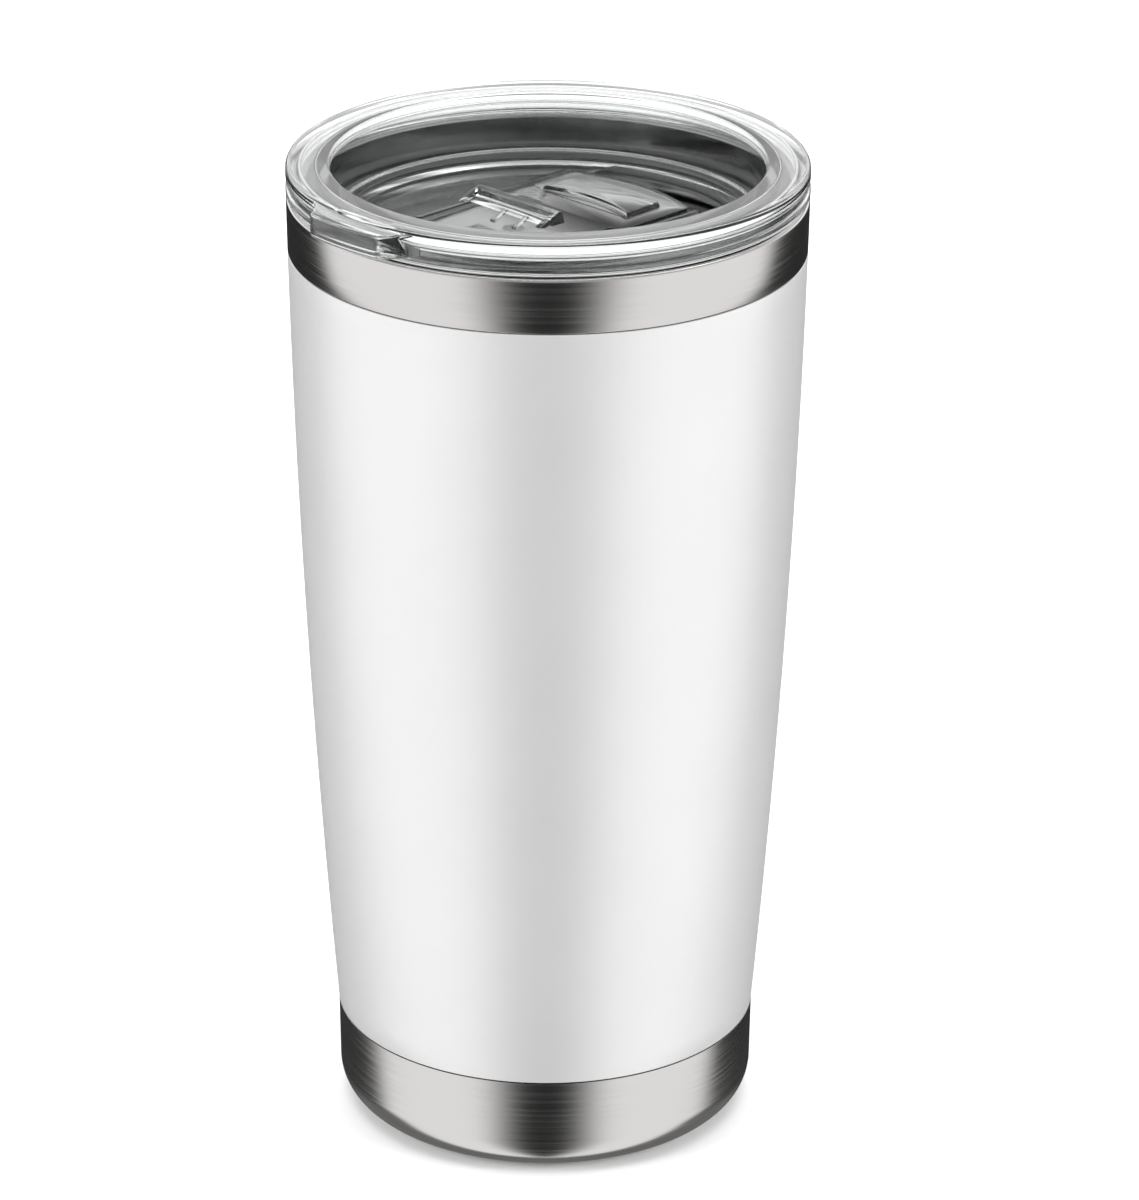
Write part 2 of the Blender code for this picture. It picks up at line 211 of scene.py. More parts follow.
class Finish(NodeTree):
    """A node material with a Principled shader, patterned in the piece's own coordinates."""

    def __init__(self, name):
        self.material = bpy.data.materials.new(name)
        self.material.use_nodes = True
        super().__init__(self.material.node_tree)
        self.shader = self.nodes["Principled BSDF"]
        self.output = self.nodes["Material Output"]
        self.place = self.nodes.new("ShaderNodeTexCoord").outputs["Object"]

    def set(self, **values):
        self.feed(self.shader, {name.replace("_", " "): value for name, value in values.items()})

    def stretched(self, scale):
        mapping = self.nodes.new("ShaderNodeMapping")
        self.feed(mapping, {"Vector": self.place, "Scale": scale})
        return mapping.outputs["Vector"]

    def noise(self, scale, detail=2.0, vector=None, roughness=0.5):
        node = self.nodes.new("ShaderNodeTexNoise")
        self.feed(node, {"Vector": vector or self.place, "Scale": scale, "Detail": detail,
                         "Roughness": roughness})
        return node.outputs["Fac"]

    def blend(self, share, first, second):
        """Goes from one colour to another."""
        return self.mix("RGBA", share, (*first, 1.0), (*second, 1.0))

    def bump(self, height, strength, distance):
        node = self.nodes.new("ShaderNodeBump")
        self.feed(node, {"Height": height, "Strength": strength, "Distance": distance})
        self.set(Normal=node.outputs["Normal"])


def turned_steel(name, colour, roughness, ring_pitch, ring_depth, anisotropy=0.0):
    """Steel with fine marks that run round the axis, and faint cloudy smears."""
    finish = Finish(name)
    rings = finish.noise(1.0, 3.0, finish.stretched((9.0, 9.0, 1.0 / ring_pitch)))
    smears = finish.noise(55.0, 3.0)
    low, high = roughness
    marked = finish.math("MULTIPLY_ADD", rings, 0.7, finish.math("MULTIPLY", smears, 0.3))
    finish.set(Roughness=finish.spread(marked, low, high, 0.35, 0.65))
    paler = tuple(min(1.0, c * 1.06) for c in colour)
    finish.set(Base_Color=finish.blend(marked, colour, paler))
    finish.bump(rings, ring_depth, 0.00004)
    finish.set(Metallic=1.0, Anisotropic=anisotropy)
    if anisotropy:
        tangent = finish.nodes.new("ShaderNodeTangent")
        tangent.axis = "Z"
        finish.set(Tangent=tangent.outputs["Tangent"])
    return finish.material


def powder_coat_finish():
    """White powder coat: a fine grain over a soft orange peel, with a pearly sheen."""
    finish = Finish("white_powder_coat")
    grain = finish.noise(3600.0, 2.0)
    peel = finish.noise(900.0, 2.0)
    tone = finish.noise(40.0, 3.0)
    height = finish.math("MULTIPLY_ADD", peel, 0.5, finish.math("MULTIPLY", grain, 0.5))
    finish.bump(height, 0.22, 0.00006)
    finish.set(Roughness=finish.spread(grain, 0.34, 0.46))
    tint = finish.spread(tone, 0.0, 1.0)
    finish.set(Base_Color=finish.blend(tint, (0.70, 0.70, 0.70), (0.72, 0.72, 0.72)))
    finish.set(Metallic=0.46)
    return finish.material


def clear_plastic_finish():
    """Clear moulded plastic, with faint flow waves and a light haze from handling."""
    finish = Finish("clear_plastic")
    waves = finish.noise(120.0, 2.0)
    haze = finish.noise(300.0, 4.0)
    finish.bump(waves, 0.008, 0.0002)
    finish.set(Roughness=finish.spread(haze, 0.05, 0.12))
    finish.set(Base_Color=finish.blend(haze, (0.78, 0.79, 0.79), (0.83, 0.84, 0.84)))
    finish.set(IOR=1.49, Transmission_Weight=1.0)
    let_light_through(finish, 0.5)
    return finish.material


def silicone_finish():
    """Milky clear silicone, tinted grey: the grey is painted shade that darkens the lid's opening and
    the gaps seen through it.
    """
    finish = Finish("clear_silicone")
    skin = finish.noise(500.0, 3.0)
    finish.bump(skin, 0.06, 0.0001)
    finish.set(Roughness=finish.spread(skin, 0.03, 0.09))
    # the grey tint is painted shade: it darkens the lid's opening and the gaps around the seals
    finish.set(Base_Color=finish.blend(skin, (0.74, 0.75, 0.75), (0.80, 0.81, 0.81)))
    finish.set(IOR=1.41, Transmission_Weight=0.6)
    let_light_through(finish, 0.5)
    return finish.material


def let_light_through(finish, share):
    """Lamps reach what lies behind a clear piece, as its bright caustics would."""
    path = finish.nodes.new("ShaderNodeLightPath")
    passing = finish.nodes.new("ShaderNodeBsdfTransparent")
    passing.inputs["Color"].default_value = (share, share, share, 1.0)
    mix = finish.nodes.new("ShaderNodeMixShader")
    finish.feed(mix, {0: path.outputs["Is Shadow Ray"], 1: finish.shader.outputs["BSDF"],
                      2: passing.outputs["BSDF"]})
    finish.feed(finish.output, {"Surface": mix.outputs["Shader"]})


def copper_finish():
    """Creased copper foil."""
    finish = Finish("copper_foil")
    creases = finish.noise(260.0, 5.0, roughness=0.7)
    finish.bump(creases, 0.5, 0.0003)
    finish.set(Roughness=finish.spread(creases, 0.22, 0.42))
    finish.set(Base_Color=finish.blend(creases, (0.70, 0.34, 0.20), (0.80, 0.45, 0.30)))
    finish.set(Metallic=1.0)
    return finish.material


def getter_finish():
    """Grey powder pressed into a pill."""
    finish = Finish("pressed_metal_powder")
    grit = finish.noise(4000.0, 4.0)
    finish.bump(grit, 0.6, 0.0001)
    finish.set(Roughness=finish.spread(grit, 0.6, 0.85))
    finish.set(Base_Color=finish.blend(grit, (0.13, 0.12, 0.12), (0.27, 0.25, 0.24)))
    finish.set(Metallic=0.4)
    return finish.material


def bead_finish():
    """Dark glass with faint swirls."""
    finish = Finish("solder_glass")
    swirl = finish.noise(700.0, 4.0)
    finish.bump(swirl, 0.1, 0.0001)
    finish.set(Roughness=finish.spread(swirl, 0.06, 0.18))
    finish.set(Base_Color=finish.blend(swirl, (0.05, 0.08, 0.13), (0.13, 0.18, 0.24)))
    return finish.material


# ---------------------------------------------------------------- mesh helpers

def arc(centre, radius, start, end, steps):
    """Points of an arc in degrees, both ends included."""
    angles = [math.radians(start + (end - start) * i / steps) for i in range(steps + 1)]
    return [(centre[0] + radius * math.cos(a), centre[1] + radius * math.sin(a)) for a in angles]


def filleted(corners, steps=5):
    """A section line from (r, z, fillet) corners, each fillet an arc of that radius."""
    line = []
    for i, (r, z, fillet) in enumerate(corners):
        if not fillet:
            line.append((r, z))
            continue
        before, after = corners[i - 1], corners[(i + 1) % len(corners)]
        into = math.atan2(before[1] - z, before[0] - r)
        out = math.atan2(after[1] - z, after[0] - r)
        half = (out - into + math.pi) % FULL_TURN - math.pi
        reach = fillet / abs(math.tan(half / 2))
        bisector = into + half / 2
        away = fillet / abs(math.sin(half / 2))
        centre = (r + away * math.cos(bisector), z + away * math.sin(bisector))
        first = (r + reach * math.cos(into), z + reach * math.sin(into))
        start = math.atan2(first[1] - centre[1], first[0] - centre[0])
        sweep = -math.copysign(math.pi - abs(half), half)
        for k in range(steps + 1):
            angle = start + sweep * k / steps
            line.append((centre[0] + fillet * math.cos(angle), centre[1] + fillet * math.sin(angle)))
    return line


def open_filleted(corners):
    """filleted() for a line whose first and last corners stay sharp."""
    first, last = corners[0], corners[-1]
    sharp = [(*first[:2], 0), *corners[1:-1], (*last[:2], 0)]
    return filleted(sharp, 3)


def smooth(mesh):
    mesh.shade_smooth()
    mesh.set_sharp_from_angle(angle=SMOOTH_ANGLE)


def new_object(name, bm):
    mesh = bpy.data.meshes.new(name)
    bm.to_mesh(mesh)
    bm.free()
    smooth(mesh)
    obj = bpy.data.objects.new(name, mesh)
    bpy.context.scene.collection.objects.link(obj)
    return obj


def turned(name, line, steps=SPIN_STEPS):
    """A section spun round the axis: a closed loop, or a line that meets the axis twice."""
    bm = bmesh.new()
    verts = [bm.verts.new((r, 0.0, z)) for r, z in line]
    ends = verts[1:] if line[0][0] == 0 else verts[1:] + verts[:1]
    edges = [bm.edges.new(pair) for pair in zip(verts, ends)]
    bmesh.ops.spin(bm, geom=verts + edges, cent=(0, 0, 0), axis=(0, 0, 1), angle=FULL_TURN,
                   steps=steps, use_merge=True)
    bmesh.ops.remove_doubles(bm, verts=bm.verts, dist=TOUCH / 2)
    bmesh.ops.recalc_face_normals(bm, faces=bm.faces)
    return new_object(name, bm)


def raise_faces(bm, low, high):
    """Extrudes the flat faces of a bmesh into a closed block between two heights."""
    bmesh.ops.translate(bm, verts=bm.verts, vec=(0, 0, low))
    raised = bmesh.ops.extrude_face_region(bm, geom=list(bm.faces), use_keep_orig=True)["geom"]
    verts = [g for g in raised if isinstance(g, bmesh.types.BMVert)]
    bmesh.ops.translate(bm, verts=verts, vec=(0, 0, high - low))
    bmesh.ops.recalc_face_normals(bm, faces=bm.faces)


def upright_edges(bm, where=lambda x, y: True):
    """Edges that stand along Z at the places that where() picks."""
    found = []
    for edge in bm.edges:
        a, b = (v.co for v in edge.verts)
        if abs(a.x - b.x) + abs(a.y - b.y) < TOUCH and where(a.x, a.y):
            found.append(edge)
    return found


def round_edges(bm, edges, width, segments):
    bmesh.ops.bevel(bm, geom=edges, offset=width, segments=segments, profile=0.5,
                    affect="EDGES", material=-1, clamp_overlap=True)


def d_shape(chord_x, radius, half_y, low, high, shift=0.0, corner=0.0012):
    """A D about the lid's centre: a straight chord, two short sides, an arc, round corners."""
    bm = bmesh.new()
    bmesh.ops.create_circle(bm, cap_ends=True, radius=radius, segments=SPIN_STEPS)
    cuts = [((chord_x, 0, 0), (-1, 0, 0)), ((0, half_y, 0), (0, 1, 0)), ((0, -half_y, 0), (0, -1, 0))]
    for point, outward in cuts:
        geom = list(bm.verts) + list(bm.edges) + list(bm.faces)
        bmesh.ops.bisect_plane(bm, geom=geom, plane_co=point, plane_no=outward, clear_outer=True)
    bmesh.ops.translate(bm, verts=bm.verts, vec=(-shift, 0, 0))
    raise_faces(bm, low, high)
    if corner:
        round_edges(bm, upright_edges(bm, lambda x, y: abs(abs(y) - half_y) < TOUCH), corner, 5)
    return bm


def box_shape(x_range, y_range, z_range, corner=0.0, edge=0.0):
    """A block with rounded upright corners and softened top edges."""
    bm = bmesh.new()
    bmesh.ops.create_cube(bm, size=1.0)
    for vert in bm.verts:
        vert.co = [r[1] if c > 0 else r[0] for c, r in zip(vert.co, (x_range, y_range, z_range))]
    if corner:
        round_edges(bm, upright_edges(bm), corner, 5)
    if edge:
        top = [e for e in bm.edges if all(v.co.z > z_range[1] - TOUCH for v in e.verts)]
        round_edges(bm, top, edge, 3)
    return bm


def post(radius, low, high, x, sides=48):
    bm = bmesh.new()
    bmesh.ops.create_cone(bm, cap_ends=True, segments=sides, radius1=radius, radius2=radius,
                          depth=high - low)
    bmesh.ops.translate(bm, verts=bm.verts, vec=(x, 0, (low + high) / 2))
    return bm


def combined(base, added=(), removed=()):
    """Joins and cuts a piece with other shapes, and leaves one plain mesh."""
    tools = []
    for shapes, operation in ((added, "UNION"), (removed, "DIFFERENCE")):
        for bm in shapes:
            tool = new_object(f"{base.name}_tool{len(tools)}", bm)
            tool.hide_render = True
            modifier = base.modifiers.new(tool.name, "BOOLEAN")
            modifier.operation = operation
            modifier.object = tool
            modifier.solver = "EXACT"
            tools.append(tool)
    bpy.context.view_layer.update()
    graph = bpy.context.evaluated_depsgraph_get()
    mesh = bpy.data.meshes.new_from_object(base.evaluated_get(graph))
    base.modifiers.clear()
    base.data = mesh
    for tool in tools:
        bpy.data.objects.remove(tool, do_unlink=True)
    smooth(mesh)
    return base


def finish_piece(obj, material, body, stands_for, place=None):
    """Puts a piece in its place in the mesh, gives it its finish and hangs it on its body."""
    if place is not None:
        obj.data.transform(place)
    obj.data.materials.clear()
    obj.data.materials.append(material)
    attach(obj, body)
    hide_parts(*stands_for)


def wall_radius(z):
    t = (COAT_TOP_Z - z) / (COAT_TOP_Z - COAT_BOTTOM_Z)
    return COAT_TOP_R - COAT_TAPER * t - COAT_BOW * t * t


def levels(start, end, count):
    return [start + (end - start) * i / count for i in range(count + 1)]


# ---------------------------------------------------------------- the cup

def build_shell(material):
    """Steel wall with its two bare bands; it lies a coat's depth further in between them."""
    inset = COAT_T + GAP
    top, bottom = COAT_TOP_Z + GAP / 2, COAT_BOTTOM_Z - GAP / 2
    corner_r = BASE_R - BASE_CORNER_R
    edge_r = 0.0003
    outside = [
        (LINER_LIP_R + GAP, RIM_Z - GAP, 0),
        (wall_radius(RIM_Z), RIM_Z - GAP, 0.0004),
        (wall_radius(top), top, 0.00015),
        (wall_radius(top) - inset, top, 0.0001),
    ]
    behind = [(wall_radius(z) - inset, z) for z in levels(top, bottom, 14)][1:-1]
    lower = [
        (wall_radius(bottom) - inset, bottom, 0.0001),
        (wall_radius(bottom), bottom, 0.00015),
    ]
    corner = arc((corner_r, BASE_CORNER_R), BASE_CORNER_R, 0, -90, 16)
    lip = [(FOOT_INNER_R + edge_r, 0.0), (FOOT_INNER_R, edge_r), (FOOT_INNER_R, FOOT_LIP_Z)]
    inner_corner_r = BASE_CORNER_R - SHELL_T
    inside = [
        (FOOT_INNER_R + SHELL_T, FOOT_LIP_Z),
        (FOOT_INNER_R + SHELL_T, SHELL_T),
        *arc((corner_r, BASE_CORNER_R), inner_corner_r, -90, 0, 10),
        *[(wall_radius(z) - inset - SHELL_T, z) for z in levels(bottom, top, 14)],
        (LINER_LIP_R + GAP, RIM_Z - 0.0030),
    ]
    line = open_filleted(outside) + behind + open_filleted(lower) + corner + lip + inside
    shell = turned("steel_shell", line)
    finish_piece(shell, material, "cup", ["outer_shell"])


def build_coat(material):
    """The coat, with its edges rounded where the paint stops at the bare bands."""
    edge = 0.00018
    outer = [(wall_radius(z), z) for z in levels(COAT_TOP_Z - edge, COAT_BOTTOM_Z + edge, 40)]
    top_r, low_r = wall_radius(COAT_TOP_Z), wall_radius(COAT_BOTTOM_Z)
    top = arc((top_r - edge, COAT_TOP_Z - edge), edge, 90, 30, 3)
    low = arc((low_r - edge, COAT_BOTTOM_Z + edge), edge, -30, -90, 3)
    inner = [(wall_radius(z) - COAT_T, z) for z in levels(COAT_BOTTOM_Z, COAT_TOP_Z, 14)]
    coat = turned("white_coat", top + outer + low + inner)
    finish_piece(coat, material, "cup", ["powder_coat"])


def build_liner(material):
    """Inner wall: rolled lip, straight mouth, shoulder, taper and round bottom corner."""
    low = LINER_FLOOR_Z + LINER_CORNER_R
    taper = [(wall_radius(z) - LINER_INSET, z) for z in levels(low, SHOULDER_Z, 16)]
    corner_r = taper[0][0] - LINER_CORNER_R
    wet = [
        (LINER_HOLE_R, LINER_FLOOR_Z),
        *arc((corner_r, low), LINER_CORNER_R, -90, 0, 12)[:-1],
        *taper,
    ]
    mouth = open_filleted([
        (taper[-1][0], SHOULDER_Z, 0),
        (MOUTH_R, MOUTH_DEPTH_Z, 0.004),
        (MOUTH_R, RIM_Z, 0.0006),
        (LINER_LIP_R, RIM_Z, 0),
    ])[1:]
    line = wet + mouth
    back = [(r + LINER_T, z) for r, z in reversed(wet[13:] + mouth[:-6])]
    lip = [(LINER_LIP_R, RIM_Z - LINER_T), (MOUTH_R + LINER_T + 0.0004, RIM_Z - LINER_T)]
    outer_corner = arc((corner_r, low), LINER_CORNER_R + LINER_T, 0, -90, 12)
    line += lip + back + outer_corner + [(LINER_HOLE_R, LINER_FLOOR_Z - LINER_T)]
    liner = turned("steel_liner", line)
    finish_piece(liner, material, "cup", ["inner_liner"])


def build_liner_bottom(material):
    """Slightly domed disc."""
    edge = LINER_HOLE_R - GAP
    dome = 0.0010
    radii = levels(0.0, edge, 24)
    top = [(r, LINER_FLOOR_Z + dome * (1 - (r / edge) ** 2)) for r in radii]
    under = [(r, z - LINER_T) for r, z in reversed(top)]
    disc = turned("liner_floor", top + under)
    finish_piece(disc, material, "cup", ["liner_bottom"])


def build_base_cap(material):
    """Stamped cover inside the foot, with a raised middle."""
    edge = FOOT_INNER_R - GAP
    rim_r, middle_r = edge - 0.0075, edge - 0.0085
    middle_z = CAP_Z + 0.0005
    corners = [
        (edge, CAP_Z, 0.0002),
        (rim_r, CAP_Z, 0.0008),
        (middle_r, middle_z, 0.0008),
        (0.0, middle_z, 0),
        (0.0, middle_z + SHELL_T, 0),
        (middle_r, middle_z + SHELL_T, 0.0005),
        (rim_r, CAP_Z + SHELL_T, 0.0005),
        (edge, CAP_Z + SHELL_T, 0.0002),
    ]
    line = filleted(corners, 4)
    split = next(i for i, (r, z) in enumerate(line) if r == 0 and z > middle_z)
    cap = turned("foot_cap", line[split:] + line[:split])
    finish_piece(cap, material, "cup", ["base_cap"])


# ---------------------------------------------------------------- the lid

def lid_line():
    """Half section of the lid, from the middle of its floor out, over and back under.

    Each corner is a radius, a height and a fillet.
    """
    skirt_low = GAP
    waist_r = LID_R - 0.0004
    seat_z = LID_TOP - 0.0021
    return filleted([
        (0.0, FLOOR_TOP, 0),
        (WELL_R, FLOOR_TOP, 0.0008),
        (RING_INNER_R, LID_TOP, 0.0005),
        (LID_R, LID_TOP, 0.0009),
        (LID_R, LID_TOP - 0.0022, 0.0003),
        (waist_r, LID_TOP - 0.0026, 0.0003),
        (waist_r, skirt_low + 0.0016, 0.0003),
        (LID_R, skirt_low + 0.0012, 0.0003),
        (LID_R, skirt_low, 0.0004),
        (LID_R - 0.0020, skirt_low, 0.0003),
        (LID_R - 0.0022, seat_z, 0.0006),
        (PLUG_R, seat_z, 0.0006),
        (PLUG_R, GROOVE_TOP, 0.0002),
        (GROOVE_R, GROOVE_TOP, 0.0002),
        (GROOVE_R, GROOVE_BOTTOM, 0.0002),
        (PLUG_R - 0.0002, GROOVE_BOTTOM, 0.0002),
        (PLUG_R - 0.0006, PLUG_BOTTOM, 0.0005),
        (PLUG_R - 0.0024, PLUG_BOTTOM, 0.0005),
        (WELL_R + 0.0003, FLOOR_TOP - FLOOR_T, 0.0004),
        (0.0, FLOOR_TOP - FLOOR_T, 0),
    ])


def tab_shape():
    """Pull tab: a wider arc that runs back into the ring at both ends through a hollow curve."""
    foot_r = LID_R - 0.0001
    line = [(LID_R - 0.0012, TAB_FOOT)]
    for share in levels(0.0, 1.0, 12):
        swell = share * share * (3 - 2 * share)
        line.append((foot_r + (TAB_R - foot_r) * swell,
                     TAB_FOOT + (TAB_REACH - TAB_FOOT) * share ** TAB_FLANK_CURVE))
    line += [(TAB_R, angle) for angle in levels(TAB_REACH, 0.0, 8)[1:]]
    line += [(r, -angle) for r, angle in reversed(line[:-1])]
    bm = bmesh.new()
    outline = [bm.verts.new((-r * math.cos(a), -r * math.sin(a), 0.0)) for r, a in line]
    bm.faces.new(outline)
    raise_faces(bm, *TAB_Z)
    outer = [e for e in bm.edges if all(v.co.xy.length > foot_r - 0.0001 for v in e.verts)
             and abs(e.verts[0].co.z - e.verts[1].co.z) < TOUCH]
    round_edges(bm, outer, 0.0006, 4)
    return bm


def build_lid(material):
    """Clear lid with its tab and rails, and the opening, the stem's slot and the vent cut out."""
    lid = turned("clear_lid", lid_line())
    deep = (FLOOR_TOP - FLOOR_T - 0.001, FLOOR_TOP + 0.001)
    rails = []
    for side in (-1, 1):
        across = sorted((side * RAIL_INNER_Y, side * (RAIL_INNER_Y + RAIL_W)))
        rails.append(box_shape(RAIL_X, across, (FLOOR_TOP - 0.0008, FLOOR_TOP + RAIL_H),
                               corner=0.0006, edge=0.0003))
    half_slot = STEM_R + 0.0004
    slot = box_shape((STEM_X - half_slot, STEM_X + TRAVEL + half_slot), (-half_slot, half_slot), deep,
                     corner=half_slot * 0.98)
    cuts = [
        d_shape(OPENING_CHORD_X, OPENING_R, OPENING_HALF_Y, *deep),
        slot,
        post(VENT_R, *deep, VENT_X),
    ]
    combined(lid, added=[tab_shape(), *rails], removed=cuts)
    finish_piece(lid, material, "lid", ["lid_body"], LID_PLACE)


def build_gasket(material):
    """Silicone ring with two thin lips."""
    lip_r = MOUTH_R - GAP
    root_r = PLUG_R + 0.0004
    high, low = GROOVE_TOP - GAP, GROOVE_BOTTOM + GAP
    middle = (high + low) / 2
    line = filleted([
        (GROOVE_R + GAP, high, 0.0002),
        (root_r, high, 0.0003),
        (lip_r, high - 0.0004, 0.00015),
        (root_r, middle + 0.0002, 0.0003),
        (lip_r, middle - 0.0008, 0.00015),
        (root_r, low, 0.0003),
        (GROOVE_R + GAP, low, 0.0002),
    ], 4)
    gasket = turned("lid_sealing_ring", line)
    finish_piece(gasket, material, "lid", ["lid_gasket"], LID_PLACE)


# ---------------------------------------------------------------- the slider

def ramp_z(x):
    """Height of the thumb grip's sloping top."""
    share = (x - GRIP_X[0]) / (GRIP_X[1] - GRIP_X[0])
    return GRIP_Z[0] + share * (GRIP_Z[1] - GRIP_Z[0])


def grip_shape(sunk):
    """Thumb grip: a ramp with spread sides and softened edges."""
    bm = box_shape(GRIP_X, (-GRIP_FOOT_HALF_Y, GRIP_FOOT_HALF_Y), (sunk, GRIP_Z[1]))
    for vert in bm.verts:
        if vert.co.z > sunk:
            vert.co.y = math.copysign(GRIP_HALF_Y, vert.co.y)
            vert.co.z = ramp_z(vert.co.x)
            vert.co.x -= GRIP_LEAN if vert.co.x > sum(GRIP_X) / 2 else 0.0
    bm.normal_update()
    sharp = [e for e in bm.edges if any(v.co.z > sunk for v in e.verts)]
    round_edges(bm, sharp, 0.0005, 4)
    return bm


def grip_hollow():
    """The sunk panel in the top of the ramp."""
    x_range = (GRIP_HOLLOW_REAR_X, GRIP_X[1] - GRIP_RIM - GRIP_LEAN)
    half_y = GRIP_HALF_Y - GRIP_RIM
    bm = box_shape(x_range, (-half_y, half_y), (0.0, 0.004), corner=0.0008)
    for vert in bm.verts:
        vert.co.z = ramp_z(vert.co.x) + (0.003 if vert.co.z > 0.001 else -GRIP_HOLLOW)
    return bm


def grip_ribs():
    """Low ribs that run down the sunk panel."""
    ribs = []
    for y in RIB_Y:
        x_range = (GRIP_HOLLOW_REAR_X + 0.0012, GRIP_X[1] - GRIP_RIM - 0.0020)
        bm = box_shape(x_range, (y - RIB_HALF_W, y + RIB_HALF_W), (0.0, 0.001), edge=0.0003)
        for vert in bm.verts:
            vert.co.z = ramp_z(vert.co.x) - GRIP_HOLLOW - 0.0003 + vert.co.z * 0.5
        ribs.append(bm)
    return ribs


def pad_shape(sunk):
    """Front pad with spread sides and a soft top edge."""
    foot = PAD_FOOT_HALF_Y
    bm = box_shape(PAD_X, (-foot, foot), (sunk, PAD_TOP), corner=0.0014, edge=0.0005)
    for vert in bm.verts:
        rise = (vert.co.z - sunk) / (PAD_TOP - sunk)
        vert.co.y *= 1 - rise * (1 - PAD_HALF_Y / foot)
    return bm


def scoop_shape():
    """A wide cylinder on its end that hollows the near side of the front pad."""
    low = PLATE_Z[1] + 0.0001
    return post(SCOOP_R, low, PAD_TOP + 0.002, PAD_X[0] - SCOOP_R + SCOOP_DEPTH, 256)


def build_slider(material):
    """Plate with a grip and a pad on it, a stem with a barb, and a pocket for the seal."""
    low, high = PLATE_Z
    sunk = high - 0.0006
    front = d_shape(SHOULDER_X + TRAVEL, PLATE_FRONT_R, PLATE_HALF_Y, low, high, TRAVEL, corner=0.0010)
    round_edges(front, [e for e in front.edges if all(v.co.z > high - TOUCH for v in e.verts)],
                0.0002, 2)
    slider = new_object("clear_slider", front)
    tail = box_shape((PLATE_REAR_X, SHOULDER_X + 0.002), (-TAIL_HALF_Y, TAIL_HALF_Y), (low, high),
                     corner=0.0010, edge=0.0002)
    barb_top = CLIP_TOP - CLIP_T - GAP
    stem = post(STEM_R, barb_top - 0.0006, sunk, STEM_X)
    barb = post(BARB_R, barb_top - 0.0010, barb_top, STEM_X)
    pocket = d_shape(OPENING_CHORD_X - SEAL_MARGIN - GAP, OPENING_R + SEAL_MARGIN + GAP,
                     OPENING_HALF_Y, low - 0.001, low + SEAL_T + GAP, TRAVEL)
    added = [tail, grip_shape(sunk), pad_shape(sunk), stem, barb]
    combined(slider, added=added, removed=[grip_hollow(), scoop_shape(), pocket])
    combined(slider, added=grip_ribs())
    finish_piece(slider, material, "slider", ["slider"], LID_PLACE)


def build_slider_seal(material):
    """Silicone pad in the plate's pocket."""
    low = PLATE_Z[0]
    bm = d_shape(OPENING_CHORD_X - SEAL_MARGIN, OPENING_R + SEAL_MARGIN, OPENING_HALF_Y - GAP,
                 low, low + SEAL_T, TRAVEL)
    seal = new_object("slider_seal_pad", bm)
    finish_piece(seal, material, "slider", ["slider_seal"], LID_PLACE)


def build_slider_clip(material):
    """Snap ring on the stem, under the lid's floor."""
    high = CLIP_TOP
    line = filleted([
        (CLIP_R, high, 0.0002),
        (CLIP_R, high - CLIP_T, 0.0002),
        (STEM_R + GAP, high - CLIP_T, 0.0002),
        (STEM_R + GAP, high, 0.0002),
    ], 3)
    clip = turned("slider_snap_ring", line, 64)
    clip.data.transform(Matrix.Translation((STEM_X, 0, 0)))
    finish_piece(clip, material, "slider", ["slider_clip"], LID_PLACE)


# ---------------------------------------------------------------- stage

def build_floor():
    """Pale matt ground."""
    bm = bmesh.new()
    bmesh.ops.create_grid(bm, x_segments=1, y_segments=1, size=FLOOR_SIZE)
    floor = new_object("floor", bm)
    material = bpy.data.materials.new("pale_floor")
    material.use_nodes = True
    shader = material.node_tree.nodes["Principled BSDF"]
    shader.inputs["Base Color"].default_value = (0.92, 0.92, 0.92, 1.0)
    shader.inputs["Roughness"].default_value = 0.9
    shader.inputs["Specular IOR Level"].default_value = 0.0
    floor.data.materials.append(material)
    floor.visible_glossy = False     # the steel mirrors the room's panels and not the ground


def build_world():
    """A white room. Towards the ground it has two wide pale panels with dark between them."""
    world = bpy.data.worlds.new("soft_studio")
    bpy.context.scene.world = world
    world.use_nodes = True
    room = NodeTree(world.node_tree)
    direction = room.nodes.new("ShaderNodeTexCoord").outputs["Generated"]
    axes = room.nodes.new("ShaderNodeSeparateXYZ")
    room.feed(axes, {"Vector": direction})
    x, y, z = axes.outputs

    def ease(source, start, end, low=0.0, high=1.0):
        return room.spread(source, low, high, start, end, "SMOOTHSTEP")

    away = room.math("ABSOLUTE", room.math("ARCTAN2", x, room.math("MULTIPLY", y, -1.0)))
    depth = room.math("MAXIMUM", room.math("SUBTRACT", room.math("MULTIPLY", z, -1.0), LOW_START), 0.0)
    lean = room.math("MINIMUM", room.math("MULTIPLY", depth, 2.0), LOW_LEAN)
    rise = ease(away, *PANEL_START)
    fall = ease(room.math("ADD", away, lean), *PANEL_END, 1.0, 0.0)
    low_fill = room.math("MULTIPLY", lean, LOW_FILL)
    panel = room.math("MULTIPLY", rise, room.math("MAXIMUM", fall, low_fill))
    ground = ease(panel, 0.0, 1.0, PANEL_DARK, PANEL_BRIGHT)
    behind = room.math("MULTIPLY", ease(away, *BACK_PANEL_START), ease(z, *BACK_PANEL_TOP, 1.0, 0.0))
    wall = room.math("ADD", ease(rise, 0.0, 1.0, WALL_DARK, WALL_BRIGHT),
                     room.math("MULTIPLY", behind, BACK_PANEL_BRIGHT))
    sky = room.mix("FLOAT", ease(z, *WALL_TOP), wall, CEILING_BRIGHT)
    inside = room.mix("FLOAT", ease(z, *HORIZON), ground, sky)
    seen = room.nodes.new("ShaderNodeLightPath").outputs["Is Camera Ray"]
    strength = room.mix("FLOAT", seen, inside, BACKDROP_BRIGHT)
    room.feed(room.nodes["Background"], {"Color": (1.0, 1.0, 1.0, 1.0), "Strength": strength})


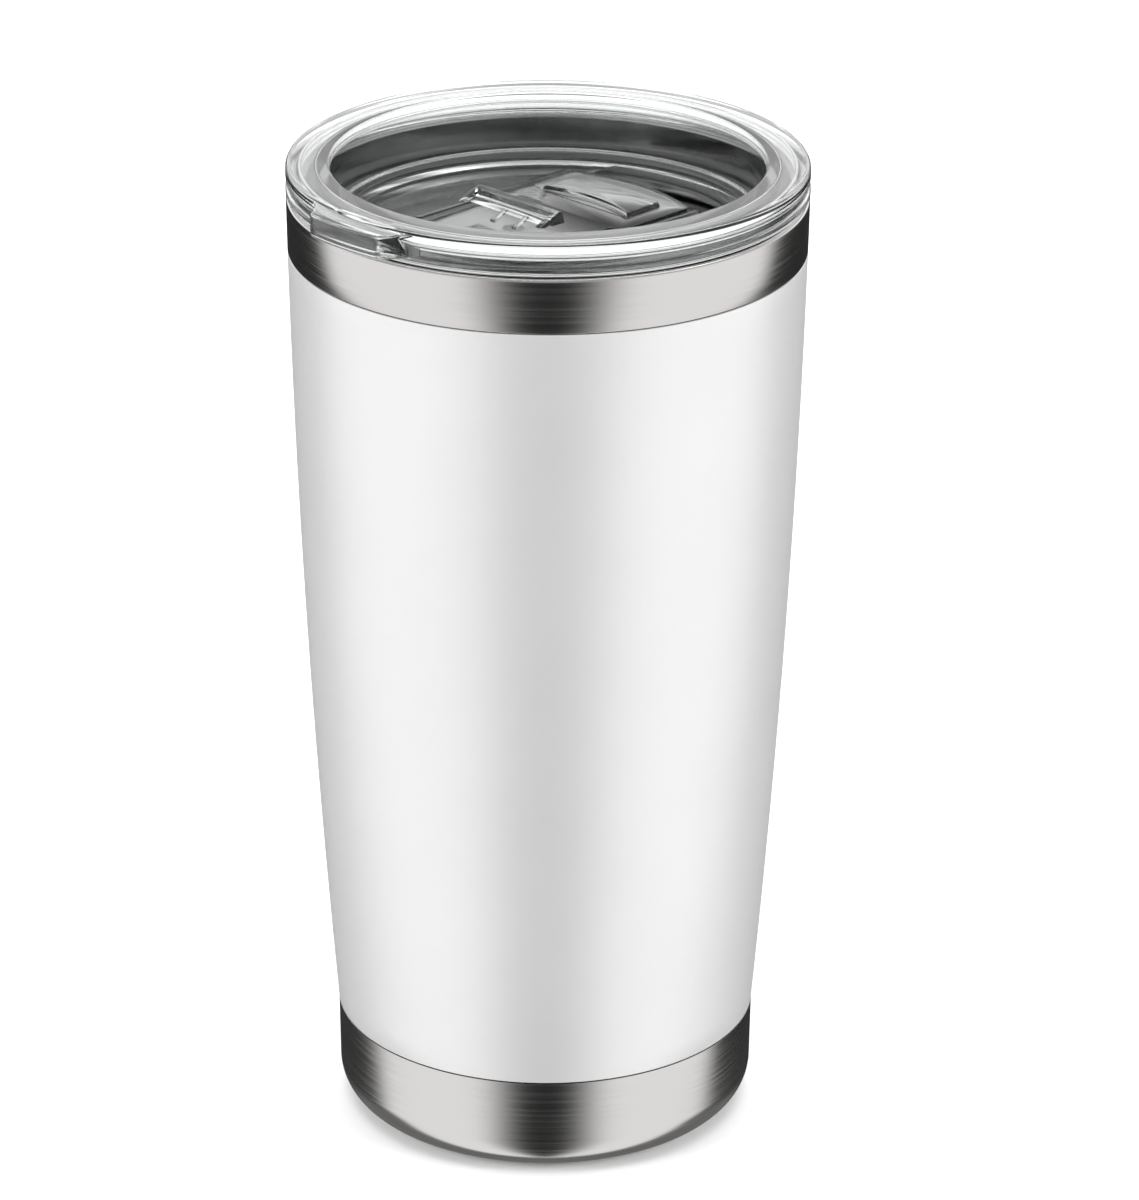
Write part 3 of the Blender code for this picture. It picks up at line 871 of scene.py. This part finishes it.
def add_softbox(name, place, aim, size, power, mirrored):
    """A rectangular lamp that faces a point; an unmirrored one only lights."""
    light = bpy.data.lights.new(name, "AREA")
    light.shape = "RECTANGLE"
    light.size, light.size_y = size
    light.energy = power
    lamp = bpy.data.objects.new(name, light)
    bpy.context.scene.collection.objects.link(lamp)
    lamp.location = place
    towards = Vector(aim) - lamp.location
    lamp.rotation_euler = towards.to_track_quat("-Z", "Y").to_euler()
    lamp.visible_glossy = mirrored
    lamp.visible_transmission = mirrored


def build_camera():
    camera = bpy.data.cameras.new("camera")
    camera.lens = CAMERA_LENS
    eye = bpy.data.objects.new("camera", camera)
    bpy.context.scene.collection.objects.link(eye)
    eye.location = CAMERA_PLACE
    tilt = Matrix.Rotation(CAMERA_TILT, 3, "X")
    eye.rotation_euler = (tilt @ Matrix.Rotation(CAMERA_ROLL, 3, "Z")).to_euler()
    bpy.context.scene.camera = eye


bpy.context.scene.view_settings.view_transform = "Standard"

polished = turned_steel("polished_steel", (0.60, 0.59, 0.58), roughness=(0.14, 0.24),
                        ring_pitch=0.0004, ring_depth=0.06, anisotropy=0.3)
liner_polish = turned_steel("electropolished_liner", (0.60, 0.595, 0.59), roughness=(0.10, 0.18),
                            ring_pitch=0.0016, ring_depth=0.02)
plain_steel = turned_steel("plain_steel", (0.52, 0.51, 0.50), roughness=(0.30, 0.42),
                           ring_pitch=0.0010, ring_depth=0.10)
clear = clear_plastic_finish()
silicone = silicone_finish()

build_shell(polished)
build_coat(powder_coat_finish())
build_liner(liner_polish)
build_liner_bottom(liner_polish)
build_base_cap(polished)
build_lid(clear)
build_gasket(silicone)
build_slider(clear)
build_slider_seal(silicone)
build_slider_clip(clear)

hidden_finishes = {
    "copper_wrap": copper_finish(),
    "vacuum_bottom": plain_steel,
    "getter_clip": plain_steel,
    "getter_pill": getter_finish(),
    "seal_bead": bead_finish(),
}
for node, material in hidden_finishes.items():
    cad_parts[node].data.materials.clear()
    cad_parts[node].data.materials.append(material)

build_floor()
build_world()
for name, lamp in SOFTBOXES.items():
    add_softbox(name, *lamp)
build_camera()
